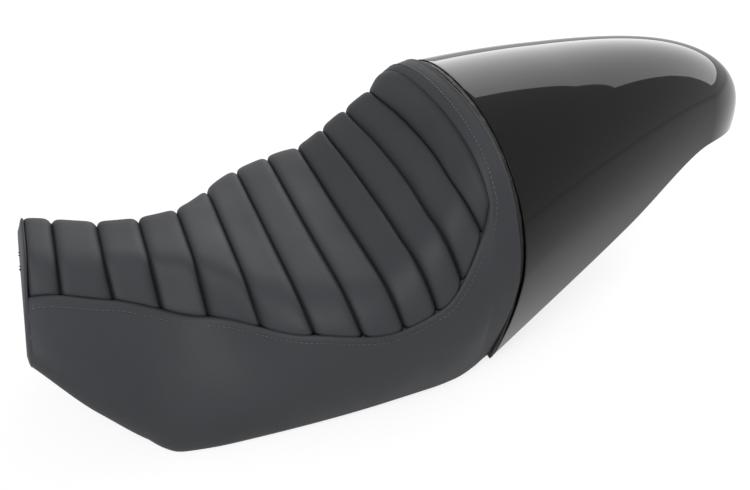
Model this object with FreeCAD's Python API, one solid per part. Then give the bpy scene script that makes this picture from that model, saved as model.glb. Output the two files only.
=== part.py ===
import FreeCAD, Part
import math
import os

# Motorcycle solo seat: ribbed vinyl seat with a bum-stop hump and a moulded tail cowl.
# Millimetres. +X points to the tail, +Y to the right side, +Z up. z = 0 is the lower skirt edge.
# While it is modelled, x = 0 is the front seam of the ribbed panel; the end moves it to mid length.

V = FreeCAD.Vector

# Stations along the seat: the length of each stretch, then where each one ends
TIP_RUN = 6.0
NECK_RUN = 58.0
WAIST_RUN = 66.0
FLARE_RUN = 71.0
SEAT_RUN = 67.0
FOOT_RUN = 42.0
HUMP_RUN = 42.0
RIM_RUN = 7.0
BAND_RUN = 18.0
X_FRONT = 0.0
X_TIP = X_FRONT - TIP_RUN
X_NECK = X_FRONT + NECK_RUN
X_WAIST = X_NECK + WAIST_RUN
X_FLARE = X_WAIST + FLARE_RUN
X_SEAT = X_FLARE + SEAT_RUN
X_FOOT = X_SEAT + FOOT_RUN
X_HUMP = X_FOOT + HUMP_RUN
X_RIM = X_HUMP + RIM_RUN
X_JOINT = X_RIM + BAND_RUN

# Seam between the ribbed panel and the border: half width and height at the stations
TIP_SEAM_Y = 62.0
NOSE_SEAM_Y = 50.0
NECK_SEAM_Y = 52.0
WAIST_SEAM_Y = 71.0
FLARE_SEAM_Y = 125.0
SEAT_SEAM_Y = 142.5
HUMP_SEAM_Y = 125.0
RIM_SEAM_Y = 119.0
TIP_SEAM_Z = 136.0
NOSE_SEAM_Z = 150.0
NECK_SEAM_Z = 129.0
WAIST_SEAM_Z = 104.0
SEAT_SEAM_Z = 97.0
FOOT_SEAM_Z = 108.0
HUMP_SEAM_Z = 164.0
RIM_SEAM_Z = 186.0

# Rolls: shoulder height, dish in the middle, lean forward on the seat and slope of the nose's sections
NOSE_CROWN = 173.0
NECK_CROWN = 154.0
WAIST_CROWN = 140.0
FLARE_CROWN = 127.0
SEAT_CROWN = 128.0
FOOT_CROWN = 152.0
HUMP_CROWN = 195.0
DISH = 8.0
SEAT_LEAN = 7.0
NOSE_SLOPE = 0.22
RIM_CROWN = 227.0
BAND_CROWN = 238.0

# Lower skirt edge
TIP_EDGE_Y = 70.0
NOSE_EDGE_Y = 79.0
NECK_EDGE_Y = 108.0
WAIST_EDGE_Y = 122.0
SEAT_EDGE_Y = 130.0
JOINT_EDGE_Y = 122.0
TIP_EDGE_Z = 110.0
NOSE_EDGE_Z = 105.0
CORNER_X = 84.0
LIFT_X = 330.0
REAR_LIFT = 12.0
SKIRT_BULGE = 16.0

# Tail cowl
COWL_HALF_WIDTH = 140.0
COWL_BELT_Z = 112.0
COWL_CROWN = 245.0
COWL_LENGTH = 347.0
COWL_RISE_RUN = 99.0
COWL_TAPER = 0.315
COWL_END_Z = 132.0
TAIL_ROUND = 74.0
TOP_ROUND = 196.0
COWL_FRONT_Z = 6.0
COWL_LIP_RUN = 42.0
COWL_LIP_Z = 37.0
COWL_MID_RUN = 162.0
COWL_MID_Z = 93.0
COWL_TAIL_Z = 140.0
COWL_END_EDGE_Z = 126.0
COWL_END_X = X_JOINT + COWL_LENGTH
COWL_TOP_X = X_JOINT + COWL_RISE_RUN
TAIL_ROUND_X = COWL_END_X - TAIL_ROUND
TOP_ROUND_X = COWL_END_X - TOP_ROUND
JOINT_BOW = 7.0
JOINT_RAKE = 7.0

# Sheet and wall sizes
VINYL = 2.0
ROLL_PITCH = 34.5
ROLL_DEPTH = 5.0
PANEL_THICK = 9.0
SEAM_GAP = 0.3
HEM_RISE = 10.0
HEM_GAP = 2.0
PAN_WALL = 3.0
PAN_SIDE = 13.0
PAN_DROP = 48.0
COWL_WALL = 3.0
COWL_GAP = 4.0
SEAL_THICK = 6.0
TRAY_RISE = 67.0
TRAY_SHORT = 64.0
TRAY_END_X = COWL_END_X - TRAY_SHORT
TRAY_SLOPE = TRAY_RISE / (TRAY_END_X - X_JOINT)
LEDGE_WIDTH = 18.0
LEDGE_THICK = 4.0
SEAM_LIP = 9.0
FOAM_GAP = 2.0
FOAM_SIDE = 7.0
FIT = 0.3
CUT_OVER = 20.0

# Flat facets that stand for the round roll edges, skirts and fasteners
EDGE_FACETS = 5
TOP_FACETS = 2
SKIRT_FACETS = 6
COWL_FACETS = 12
ROUND_FACETS = 14

# Frame fittings under the base
TONGUE_WIDTH = 40.0
TONGUE_THICK = 4.0
TONGUE_X = 52.0
TONGUE_REACH = 46.0
TONGUE_STEP = 14.0
RIVET_DIA = 6.0
RIVET_SPACE = 24.0
BRACKET_X = 300.0
BRACKET_WIDTH = 30.0
BRACKET_HOLES = 100.0
BRACKET_STEP = 14.0
BRACKET_FOOT = 16.0
MOUNT_HOLE = 6.6
BOLT_SPACE = 40.0
BOLT_DIA = 6.0
BOSS_DEPTH = 8.0
BUMPER_DIA = 24.0
BUMPER_HEIGHT = 14.0
BUMPER_STEM = 8.0
BUMPER_FRONT_X = 112.0
BUMPER_FRONT_Y = 44.0
BUMPER_REAR_X = 236.0
BUMPER_REAR_Y = 74.0
COWL_SCREW_RUN = 69.0
COWL_SCREW_STEP = 130.0
COWL_SCREW_DIA = 5.0
WASHER_THICK = 1.5


def along(x, stations):
    """Value at x of a smooth curve through (x, value) stations, with no overshoot."""
    if x <= stations[0][0]:
        return stations[0][1]
    if x >= stations[-1][0]:
        return stations[-1][1]
    spans = [b[0] - a[0] for a, b in zip(stations, stations[1:])]
    rises = [(b[1] - a[1]) / (b[0] - a[0]) for a, b in zip(stations, stations[1:])]
    slopes = [rises[0]]
    for k in range(1, len(rises)):
        if rises[k - 1] * rises[k] <= 0:
            slopes.append(0.0)
        else:
            w1 = 2 * spans[k] + spans[k - 1]
            w2 = spans[k] + 2 * spans[k - 1]
            slopes.append((w1 + w2) / (w1 / rises[k - 1] + w2 / rises[k]))
    slopes.append(rises[-1])
    k = max(i for i in range(len(spans)) if stations[i][0] <= x)
    t = (x - stations[k][0]) / spans[k]
    a, b = stations[k][1], stations[k + 1][1]
    return (a * (1 + 2 * t) * (1 - t) ** 2 + b * t * t * (3 - 2 * t)
            + spans[k] * (slopes[k] * t * (1 - t) ** 2 - slopes[k + 1] * t * t * (1 - t)))


def seam_y(x):
    return along(x, [(X_TIP, TIP_SEAM_Y), (X_FRONT, NOSE_SEAM_Y), (X_NECK, NECK_SEAM_Y),
                     (X_WAIST, WAIST_SEAM_Y), (X_FLARE, FLARE_SEAM_Y), (X_SEAT, SEAT_SEAM_Y),
                     (X_FOOT, SEAT_SEAM_Y), (X_HUMP, HUMP_SEAM_Y), (X_RIM, RIM_SEAM_Y)])


def seam_z(x):
    return along(x, [(X_TIP, TIP_SEAM_Z), (X_FRONT, NOSE_SEAM_Z), (X_NECK, NECK_SEAM_Z),
                     (X_WAIST, WAIST_SEAM_Z), (X_FLARE, WAIST_SEAM_Z), (X_SEAT, SEAT_SEAM_Z),
                     (X_FOOT, FOOT_SEAM_Z), (X_HUMP, HUMP_SEAM_Z), (X_RIM, RIM_SEAM_Z)])


def crown_z(x):
    return along(x, [(X_FRONT, NOSE_CROWN), (X_NECK, NECK_CROWN), (X_WAIST, WAIST_CROWN),
                     (X_FLARE, FLARE_CROWN), (X_SEAT, SEAT_CROWN), (X_FOOT, FOOT_CROWN),
                     (X_HUMP, HUMP_CROWN)])


def dish(x):
    return along(x, [(X_FLARE, 0.0), (X_FOOT, DISH)])


def nose_lean(x):
    """How far the sections of the nose lean back, in mm per mm of height."""
    return along(x, [(X_FRONT, NOSE_SLOPE), (X_NECK, 0.0)])


def crown_lean(x):
    """How far the rolls lean forward from the seam up to the crown."""
    seat = along(x, [(X_WAIST, 0.0), (X_SEAT, SEAT_LEAN), (X_FOOT, SEAT_LEAN), (X_HUMP, 0.0)])
    return seat - nose_lean(x) * (crown_z(x) - seam_z(x))


def edge_angle(x):
    """Slope of the surface at the seam, in degrees from level."""
    return along(x, [(X_FRONT, 40.0), (X_NECK, 45.0), (X_WAIST, 52.0), (X_FLARE, 75.0),
                     (X_SEAT, 82.0), (X_FOOT, 80.0), (X_HUMP, 62.0), (X_RIM, 60.0)])


def flatness(x):
    """Share of the half width that stays level before the shoulder turns down."""
    return along(x, [(X_NECK, 0.3), (X_WAIST, 0.42), (X_FLARE, 0.65), (X_SEAT, 0.8)])


def edge_y(x):
    return along(x, [(X_TIP, TIP_EDGE_Y), (X_FRONT, NOSE_EDGE_Y), (X_NECK, NECK_EDGE_Y),
                     (X_WAIST, WAIST_EDGE_Y), (X_SEAT, SEAT_EDGE_Y), (X_FOOT, SEAT_EDGE_Y),
                     (X_JOINT, JOINT_EDGE_Y)])


def edge_z(x):
    corner = CORNER_X - X_TIP
    return along(x, [(X_TIP, TIP_EDGE_Z), (X_FRONT, NOSE_EDGE_Z),
                     (X_TIP + 0.66 * corner, 0.28 * TIP_EDGE_Z),
                     (X_TIP + 0.88 * corner, 0.05 * TIP_EDGE_Z), (CORNER_X, 0.0),
                     (LIFT_X, 0.0), (X_JOINT, REAR_LIFT)])


def band_crown(x):
    return along(x, [(X_RIM, RIM_CROWN), (0.7 * X_RIM + 0.3 * X_JOINT, 0.5 * (RIM_CROWN + BAND_CROWN)),
                     (X_JOINT, BAND_CROWN)])


# Section curves: lists of (y, z) control points of Bezier curves, for the +Y half

def shoulder(x):
    """Rolls as (y, height above the seam): round edge from the seam, then the top to the middle line."""
    y, rise = seam_y(x), math.hypot(crown_z(x) - seam_z(x), crown_lean(x))
    angle = math.radians(edge_angle(x))
    reach = 0.6 * rise / math.sin(angle)
    flat, low = flatness(x) * y, rise - dish(x)
    edge = [(y, 0.0), (y - reach * math.cos(angle), reach * math.sin(angle)),
            (0.5 * (flat + y), rise), (flat, rise)]
    return [edge, [(flat, rise), (0.65 * flat, rise), (0.35 * flat, low), (0.0, low)]]


def skirt(x):
    """Border from the seam down to the lower edge."""
    y, z = seam_y(x), seam_z(x)
    angle = math.radians(edge_angle(x))
    drop = z - edge_z(x)
    return [(y, z), (y + 0.4 * drop * math.cos(angle), z - 0.4 * drop * math.sin(angle)),
            (edge_y(x) + SKIRT_BULGE, edge_z(x) + 0.35 * drop), (edge_y(x), edge_z(x))]


def hump_top(x):
    """Hump band from the seam level up to the crown."""
    y, z, crown = seam_y(x), seam_z(x), band_crown(x)
    angle = math.radians(edge_angle(x))
    reach = 0.65 * (crown - z) / math.sin(angle)
    return [(y, z), (y - reach * math.cos(angle), z + reach * math.sin(angle)), (0.5 * y, crown), (0.0, crown)]


def cowl_width(x):
    taper = COWL_HALF_WIDTH - COWL_TAPER * (x - X_JOINT)
    return taper * math.sqrt(1 - max(0.0, (x - TAIL_ROUND_X) / (COWL_END_X - TAIL_ROUND_X)) ** 2)


def cowl_crown(x):
    top = along(x, [(X_JOINT, BAND_CROWN), (COWL_TOP_X, COWL_CROWN)])
    fall = math.sqrt(1 - max(0.0, (x - TOP_ROUND_X) / (COWL_END_X - TOP_ROUND_X)) ** 2)
    return COWL_END_Z + (top - COWL_END_Z) * fall


def cowl_edge(x):
    """Height of the cowl's lower edge in side view."""
    return along(x, [(X_JOINT - JOINT_RAKE, COWL_FRONT_Z), (X_JOINT + COWL_LIP_RUN, COWL_LIP_Z),
                     (X_JOINT + COWL_MID_RUN, COWL_MID_Z), (TAIL_ROUND_X, COWL_TAIL_Z),
                     (COWL_END_X, COWL_END_EDGE_Z)])


def cowl_curves(x, inset):
    """Cowl from below its lower edge to the belt line, and from there to the crown."""
    share = (x - X_JOINT) / (COWL_END_X - X_JOINT)
    belt = COWL_BELT_Z + (COWL_END_Z - COWL_BELT_Z) * share
    width = max(cowl_width(x) - inset, 1.0)
    crown = max(cowl_crown(x) - inset, belt + 1.0)
    foot = belt - COWL_BELT_Z
    rise = crown - belt
    side = [(width * JOINT_EDGE_Y / COWL_HALF_WIDTH, foot), (width, foot + 0.55 * COWL_BELT_Z), (width, belt)]
    return [side, [(width, belt), (width, belt + 0.6 * rise), (0.62 * width, crown), (0.0, crown)]]


def pan_top(x):
    return along(x, [(X_FRONT, NOSE_CROWN - PAN_DROP), (X_NECK, NECK_CROWN - PAN_DROP),
                     (X_WAIST, WAIST_CROWN - PAN_DROP), (X_FLARE, FLARE_CROWN - PAN_DROP),
                     (X_SEAT, SEAT_CROWN - PAN_DROP)])


# Working with the section curves

def bezier(points, t):
    rest = list(points)
    while len(rest) > 1:
        rest = [tuple((1 - t) * p + t * q for p, q in zip(a, b)) for a, b in zip(rest, rest[1:])]
    return rest[0]


def sampled(points, count):
    """Points along a Bezier curve, ends included."""
    return [bezier(points, k / (count - 1)) for k in range(count)]


def inward(points, distance):
    """A run of (y, z) points moved to its left, a point on the middle line staying on it."""
    moved = []
    for k, (y, z) in enumerate(points):
        before, after = points[max(k - 1, 0)], points[min(k + 1, len(points) - 1)]
        dy, dz = after[0] - before[0], after[1] - before[1]
        size = math.hypot(dy, dz)
        moved.append((y - distance * dz / size, z + distance * dy / size))
    return moved


def flipped(points):
    return [(-y, z) for y, z in reversed(points)]


def both_halves(half):
    """Full run from +Y to -Y out of a half that ends on the middle line."""
    return half + flipped(half)[1:]


def at_x(x, points):
    """Points on the section plane of a station, which leans back at the nose."""
    return [V(x + nose_lean(x) * (z - seam_z(x)), y, z) for y, z in points]


def closed(points):
    return Part.makePolygon(points + points[:1])


def polygon(x, half):
    return at_x(x, both_halves(half))


def spread(a, b, count):
    return [a + (b - a) * k / count for k in range(count)]


def skin(sections):
    """Solid through sections of equal point counts, each gap bridged by two flat facets."""
    faces = [Part.Face(closed(sections[0])), Part.Face(closed(sections[-1]))]
    for near, far in zip(sections, sections[1:]):
        for k in range(len(near)):
            a, b, c, d = near[k - 1], near[k], far[k], far[k - 1]
            if a.distanceToPoint(c) <= b.distanceToPoint(d):
                corners = ([a, b, c], [a, c, d])
            else:
                corners = ([a, b, d], [b, c, d])
            faces += [Part.Face(closed(points)) for points in corners]
    solid = Part.Solid(Part.Shell(faces))
    if solid.Volume < 0:
        solid.reverse()
    return solid


def mirrored(shape):
    return shape.mirror(V(0, 0, 0), V(0, 1, 0))


def side_prism(points, reach=400.0):
    """Block cut to a side-view outline of (x, z) points, across the whole width."""
    return Part.Face(closed([V(x, -reach / 2, z) for x, z in points])).extrude(V(0, reach, 0))


def joint_x(z):
    """Side view of the joint between hump band and cowl: bowed to the rear at mid height."""
    bow = 1 - ((z - COWL_BELT_Z) / (BAND_CROWN - COWL_BELT_Z)) ** 2
    return X_JOINT + JOINT_BOW * bow - JOINT_RAKE * max(0.0, (COWL_BELT_Z - z) / COWL_BELT_Z)


def behind_joint(shift):
    """Block behind the joint curve, moved to the rear by a distance."""
    top, rear = BAND_CROWN + CUT_OVER, COWL_END_X + CUT_OVER
    line = [(joint_x(z) + shift, z) for z in spread(-2 * CUT_OVER, top, 12) + [top]]
    return side_prism(line + [(rear, top), (rear, -2 * CUT_OVER)])


# Stations shared by pieces that lie on each other

def grooves():
    """Seam stations of the sewn grooves, one pitch apart along the crown line, set out from the hump."""
    step = 0.5
    places = [X_HUMP]
    walked = 0.0
    x = X_HUMP
    while x - step > X_FRONT:
        run = step - crown_lean(x) + crown_lean(x - step)
        walked += math.hypot(run, crown_z(x) - crown_z(x - step))
        x -= step
        if walked >= ROLL_PITCH:
            places.append(x)
            walked = 0.0
    if places[-1] - X_FRONT < 0.4 * ROLL_PITCH:
        places.pop()
    return [X_FRONT] + places[::-1]


def rolls():
    """Stations across each roll with how deep the surface lies there."""
    places = grooves()
    stations = []
    for front, rear in zip(places, places[1:]):
        for share, depth in ((0.0, 1.0), (0.2, 0.25), (0.5, 0.0), (0.8, 0.25)):
            stations.append((front + share * (rear - front), depth * ROLL_DEPTH))
    return stations + [(X_HUMP, ROLL_DEPTH)]


def core_places():
    """Stations of the inner side: close where the nose turns up and on the steep hump."""
    ends = [CORNER_X, X_WAIST, X_FLARE, X_SEAT, X_FOOT]
    middle = [x for a, b in zip(ends, ends[1:]) for x in spread(a, b, 2)]
    return spread(X_FRONT, CORNER_X, 5) + middle + spread(X_FOOT, X_HUMP, 3) + [X_HUMP]


# Ribbed top panel

def leaning(x, points, shift=0.0):
    """Points given as (y, height above the seam) put on the leaning plane of a roll."""
    lean, rise = crown_lean(x), crown_z(x) - seam_z(x)
    size = math.hypot(lean, rise)
    return [V(x + shift - lean * h / size, y, seam_z(x) + rise * h / size) for y, h in points]


def roll_points(x, depth):
    """Outer side of a roll from the seam to the middle line."""
    edge, top = shoulder(x)
    return inward(sampled(edge, EDGE_FACETS + 1)[:-1] + sampled(top, TOP_FACETS + 1), depth + SEAM_GAP)


def roll_wire(x, depth, shift=0.0):
    half = roll_points(x, depth)
    half = [(half[0][0], 0.0)] + half[1:-1] + [(0.0, half[-1][1])]
    return leaning(x, both_halves(half), shift)


def panel_under(x, thickness):
    """Underside of the panel as (y, height above the seam)."""
    edge, top = shoulder(x)
    return inward(sampled(edge, 4)[:-1] + sampled(top, TOP_FACETS + 1), thickness)


def panel_core():
    """What is hollow under the panel, open at the front, below and behind."""
    wires = []
    for x in core_places():
        half = panel_under(x, PANEL_THICK)
        half = [(half[0][0], -PANEL_THICK)] + half
        wires.append(leaning(x, both_halves(half)))
    first = [p - V(PANEL_THICK, 0, 0) for p in wires[0]]
    last = [p + V(2 * PANEL_THICK, 0, 0) for p in wires[-1]]
    return skin([first] + wires + [last])


def crescent():
    """Padded half-moon on the front of the hump, between the last groove and the rim."""
    lean = (X_RIM - X_HUMP) / (RIM_CROWN - HUMP_CROWN)
    middle_z = 0.5 * (HUMP_CROWN + RIM_CROWN)
    rim = inward(sampled(hump_top(X_RIM), 2 * EDGE_FACETS + 1), VINYL + 3 * SEAM_GAP)
    foot = [(y, seam_z(X_HUMP) + h) for y, h in roll_points(X_HUMP, ROLL_DEPTH + VINYL / 2)]
    round_trip = both_halves(rim) + both_halves(foot)[::-1]

    def outline(inset, depth):
        shrink_y = 1 - inset / HUMP_SEAM_Y
        shrink_z = 1 - 2 * inset / (RIM_CROWN - HUMP_CROWN + 2 * ROLL_DEPTH)
        shrunk = [(y * shrink_y, middle_z + shrink_z * (z - middle_z)) for y, z in round_trip]
        return [V(X_HUMP + lean * (z - HUMP_CROWN) + depth, y, z) for y, z in shrunk]

    steps = ((ROLL_DEPTH, 0.0), (0.35 * ROLL_DEPTH, 0.3 * ROLL_DEPTH), (0.0, ROLL_DEPTH), (0.0, PANEL_THICK))
    return skin([outline(inset, depth) for inset, depth in steps])


def ribbed_top_panel():
    wires = [roll_wire(max(x, X_FRONT + SEAM_GAP), depth) for x, depth in rolls()]
    wires.append(roll_wire(X_HUMP, 2 * ROLL_DEPTH, PANEL_THICK))
    return skin(wires).cut(panel_core()).fuse(crescent())


# Border cover: side skirts with a seam lip above and a hem below, front facing and hump band

def seam_lip(x):
    return along(x, [(X_FOOT, SEAM_LIP), (X_HUMP, VINYL + FIT), (X_RIM, VINYL + FIT)])


def skirt_points(x):
    """Outer side from the lower edge up to the seam."""
    return sampled(skirt(x), SKIRT_FACETS + 1)[::-1]


def skirt_inside(x, distance):
    """Coarser line inside the skirt, from the lower edge up to the seam."""
    return inward(sampled(skirt(x), 4)[::-1], distance)


def skirt_y(x, z):
    """Half width of the skirt's outer side at a height."""
    line = skirt_points(x)
    for (y0, z0), (y1, z1) in zip(line, line[1:]):
        if z0 <= z <= z1:
            return y0 + (y1 - y0) * (z - z0) / (z1 - z0)
    return line[-1][0]


def hem_y(x):
    return edge_y(x) - PAN_SIDE - PAN_WALL - HEM_GAP


def skirt_wire(x):
    outer = skirt_points(x)
    inner = skirt_inside(x, VINYL)
    y, z = outer[-1]
    low = outer[0][1]
    lip = [(y - seam_lip(x), z - FIT), (y - seam_lip(x), z - FIT - VINYL)]
    hem = [(inner[0][0], low + VINYL), (hem_y(x), low + VINYL), (hem_y(x), low + HEM_RISE),
           (hem_y(x) - VINYL, low + HEM_RISE), (hem_y(x) - VINYL, low)]
    return at_x(x, outer + lip + [(inner[-1][0], z - FIT - VINYL)] + inner[-2:0:-1] + hem)


def skirts():
    side = skin([skirt_wire(x) for x in [x for x, depth in rolls()] + [X_RIM]])
    return side.fuse(mirrored(side))


def nose_half(x, inset):
    edge, top = shoulder(X_FRONT)
    share = (x - X_TIP) / (X_FRONT - X_TIP)
    height = (0.6 + 0.4 * share) * (NOSE_CROWN - NOSE_SEAM_Z) / top[0][1]
    crown = [(y * seam_y(x) / NOSE_SEAM_Y, seam_z(x) + h * height)
             for y, h in sampled(edge, EDGE_FACETS + 1)[1:-1] + sampled(top, TOP_FACETS + 1)]
    half = inward(skirt_points(x) + crown, inset)
    return [(half[0][0], half[0][1] - 3 * inset)] + half[1:-1] + [(0.0, half[-1][1])]


def nose_block(inset, front, rear):
    """Solid of the nose between two stations, inside the cover by an inset."""
    return skin([polygon(x, nose_half(min(x, X_FRONT), inset)) for x in (front, 0.5 * (front + rear), rear)])


def front_facing():
    shell = nose_block(0.0, X_TIP, X_FRONT)
    shell = shell.cut(nose_block(VINYL, X_TIP + VINYL, X_FRONT - VINYL))
    return shell.cut(nose_block(ROLL_DEPTH + 2 * VINYL, X_FRONT - 2 * VINYL, X_FRONT + VINYL))


def hump_half(x, inset):
    """Hump section from the lower edge over the side to the crown."""
    half = inward(skirt_points(x) + sampled(hump_top(x), 2 * EDGE_FACETS + 1)[1:], inset)
    return half[:-1] + [(0.0, half[-1][1])]


def band_wire(x):
    outer, inner = hump_half(x, 0.0), hump_half(x, VINYL)
    low = outer[0][1]
    outer = [(hem_y(x) - VINYL, low + HEM_RISE), (hem_y(x) - VINYL, low)] + outer
    inner = [(hem_y(x), low + HEM_RISE), (hem_y(x), low + VINYL), (inner[0][0], low + VINYL)] + inner[1:]
    return at_x(x, both_halves(outer) + both_halves(inner)[::-1])


def hump_band():
    rear = X_JOINT + 2 * JOINT_BOW
    return skin([band_wire(x) for x in spread(X_RIM, X_JOINT, 3) + [X_JOINT, rear]])


def border_cover():
    return skirts().fuse([front_facing(), hump_band()]).cut(behind_joint(0.0))


# Tail cowl and its edge seal

def cowl_places(inset):
    tail = COWL_END_X - inset
    body = spread(X_JOINT - 2 * JOINT_RAKE, COWL_TOP_X, 3) + spread(COWL_TOP_X, TAIL_ROUND_X, 4)
    return body + [TAIL_ROUND_X + (tail - TAIL_ROUND_X) * share for share in (0.0, 0.35, 0.62, 0.82, 0.94, 0.99)]


def cowl_block(inset):
    """Solid inside the cowl's outer surface by an inset."""
    wires = []
    for x in cowl_places(inset):
        side, top = cowl_curves(x, inset)
        half = sampled(side, 4)[:-1] + sampled(top, COWL_FACETS)
        wires.append(polygon(x, [(half[0][0], half[0][1] - CUT_OVER / 2)] + half))
    return skin(wires)


def under_cowl():
    """Block below the cowl's lower edge."""
    front, rear = X_JOINT - 4 * JOINT_RAKE, COWL_END_X + CUT_OVER
    line = [(x, cowl_edge(x)) for x in spread(front, rear, 14) + [rear]]
    return side_prism(line + [(rear, -CUT_OVER), (front, -CUT_OVER)])


def tray_z(x):
    return SEAT_CROWN - PAN_DROP - PAN_WALL + TRAY_SLOPE * (x - X_JOINT)


def tray_slab(low, high, front):
    """Sloping slab between two heights over the tray's underside."""
    return side_prism([(front, tray_z(front) + low), (TRAY_END_X, tray_z(TRAY_END_X) + low),
                       (TRAY_END_X, tray_z(TRAY_END_X) + high), (front, tray_z(front) + high)])


def tray_front():
    return X_JOINT + JOINT_BOW + COWL_GAP + PAN_WALL


def cowl():
    shell = cowl_block(0.0).cut(cowl_block(COWL_WALL))
    rim = cowl_block(COWL_WALL - 1.0).cut(cowl_block(COWL_WALL + LEDGE_WIDTH))
    low = PAN_WALL + FIT
    ledge = tray_slab(low, low + LEDGE_THICK, tray_front() + PAN_WALL).common(rim)
    body = shell.fuse(ledge).common(behind_joint(COWL_GAP)).cut(under_cowl())
    return body.cut(cowl_screw_bores())


def cowl_edge_seal():
    ring = cowl_block(1.0).cut(cowl_block(1.0 + SEAL_THICK))
    return ring.common(behind_joint(FIT)).cut(behind_joint(COWL_GAP - FIT)).cut(under_cowl())


# Seat base

def pan_half(x, inset):
    """Channel section from the lower edge to the middle of the top."""
    low = edge_z(x) + VINYL + along(x, [(CORNER_X, HEM_GAP), (X_WAIST, FIT)])
    width = edge_y(x) - PAN_SIDE - inset
    knee = low + HEM_RISE + VINYL
    top = max(pan_top(x), knee + 2 * PAN_WALL)
    corner = min(0.9 * width, skirt_y(x, top) - PAN_SIDE - 2 * FOAM_GAP - inset)
    return [(width, low), (width, knee), (corner, top - inset), (0.0, top - inset)]


def bulkhead_x():
    """Front face of the bulkhead behind the hump."""
    return X_JOINT - PAN_WALL - FIT


def bolster_places():
    """Stations of the foam behind the crescent: below its foot, behind its top, at the bulkhead."""
    return [X_HUMP + PANEL_THICK + 2 * FOAM_GAP, X_RIM + PANEL_THICK + FOAM_GAP, bulkhead_x() - FIT]


def pan_places():
    return [X_FRONT + FIT] + core_places()[1:] + bolster_places()


def pan_block(inset, front, rear, low_by):
    wires = []
    for x in [front] + pan_places()[1:] + [rear]:
        half = pan_half(x, inset)
        wires.append(polygon(x, [(half[0][0], half[0][1] - low_by)] + half[1:]))
    return skin(wires)


def boss_block(x, y, length, width, low):
    """Upright block that the filled base shape cuts to a flat pad under its top."""
    return Part.makeBox(length, width, 2 * PAN_DROP, V(x - length / 2, y - width / 2, low))


def post(diameter, x, y, low, high):
    """Upright prism of many sides that stands for a round post or bore."""
    turns = [2 * math.pi * k / ROUND_FACETS for k in range(ROUND_FACETS)]
    ring = [V(x + diameter / 2 * math.cos(t), y + diameter / 2 * math.sin(t), low) for t in turns]
    return Part.Face(closed(ring)).extrude(V(0, 0, high - low))


def joined(shapes):
    return shapes[0].fuse(shapes[1:]) if len(shapes) > 1 else shapes[0]


def tongue_seat():
    return pan_top(TONGUE_X + TONGUE_WIDTH) - 2 * PAN_WALL


def bracket_seat():
    return pan_top(BRACKET_X) - PAN_WALL - BOSS_DEPTH


def bumper_places():
    rows = ((BUMPER_FRONT_X, BUMPER_FRONT_Y), (BUMPER_REAR_X, BUMPER_REAR_Y))
    lows = [min(pan_top(x), pan_top(x + BUMPER_DIA)) - 2 * PAN_WALL for x, y in rows]
    return [(x, side * y, low) for (x, y), low in zip(rows, lows) for side in (1, -1)]


def rivet_places():
    return [(TONGUE_X, side * RIVET_SPACE / 2) for side in (1, -1)]


def bolt_places():
    return [(BRACKET_X, side * BOLT_SPACE / 2) for side in (1, -1)]


def seat_pan():
    rear = bulkhead_x() + PAN_WALL
    solid = pan_block(0.0, X_FRONT + FIT, rear, 0.0)
    pan = solid.cut(pan_block(PAN_WALL, X_FRONT + FIT + PAN_WALL, rear + PAN_WALL, 2 * PAN_WALL))
    wall = hump_half(bulkhead_x(), VINYL + 2 * FIT)
    foot = pan_top(X_SEAT) - PAN_WALL
    arch = [(0.9 * wall[0][0] - PAN_WALL, foot)] + [p for p in wall if p[1] > foot]
    plate = Part.Face(closed(polygon(bulkhead_x(), arch))).extrude(V(PAN_WALL, 0, 0))
    neck = tray_slab(0.0, PAN_WALL, bulkhead_x()).common(
        Part.makeBox(tray_front() - bulkhead_x() + PAN_WALL, JOINT_EDGE_Y, 4 * PAN_DROP,
                     V(bulkhead_x(), -JOINT_EDGE_Y / 2, 0)))
    tray = tray_slab(0.0, PAN_WALL, tray_front()).common(cowl_block(COWL_WALL + FIT))
    pad_width = TONGUE_WIDTH + 2 * PAN_WALL
    pads = [boss_block(TONGUE_X, 0, pad_width, pad_width, tongue_seat()),
            boss_block(BRACKET_X, 0, BRACKET_WIDTH + 2 * PAN_WALL, 2 * BOLT_SPACE, bracket_seat())]
    pads += [post(BUMPER_DIA + PAN_WALL, x, y, z, z + 2 * PAN_DROP) for x, y, z in bumper_places()]
    pads = [pad.common(solid) for pad in pads]
    pan = pan.fuse([plate, neck, tray] + pads)
    holes = [post(RIVET_DIA + FIT, x, y, tongue_seat() - 1, tongue_seat() + BOSS_DEPTH + FIT)
             for x, y in rivet_places()]
    holes += [post(BOLT_DIA + 2 * VINYL + FIT, x, y, 0, 2 * PAN_DROP) for x, y in bolt_places()]
    holes += [post(BUMPER_STEM + FIT, x, y, z - 1, z + BOSS_DEPTH) for x, y, z in bumper_places()]
    hem_front = at_x(X_FRONT, [(-NOSE_EDGE_Y, NOSE_EDGE_Z - VINYL - HEM_GAP)])[0] - V(PAN_WALL, 0, 0)
    hem_room = Part.makeBox(4 * PAN_WALL + NOSE_SLOPE * HEM_RISE, 2 * NOSE_EDGE_Y,
                            HEM_RISE + 2 * VINYL + HEM_GAP, hem_front)
    return pan.cut(joined(holes + [hem_room, cowl_screw_bores()]))


# Foam

def foam_lower(x):
    half = pan_half(x, -FIT)
    return [(half[0][0], half[0][1] + VINYL)] + half[1:]


def foam_side(x):
    side = skirt_inside(x, VINYL + FOAM_SIDE)
    return [(side[0][0], foam_lower(x)[0][1])] + side[1:-1]


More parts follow.
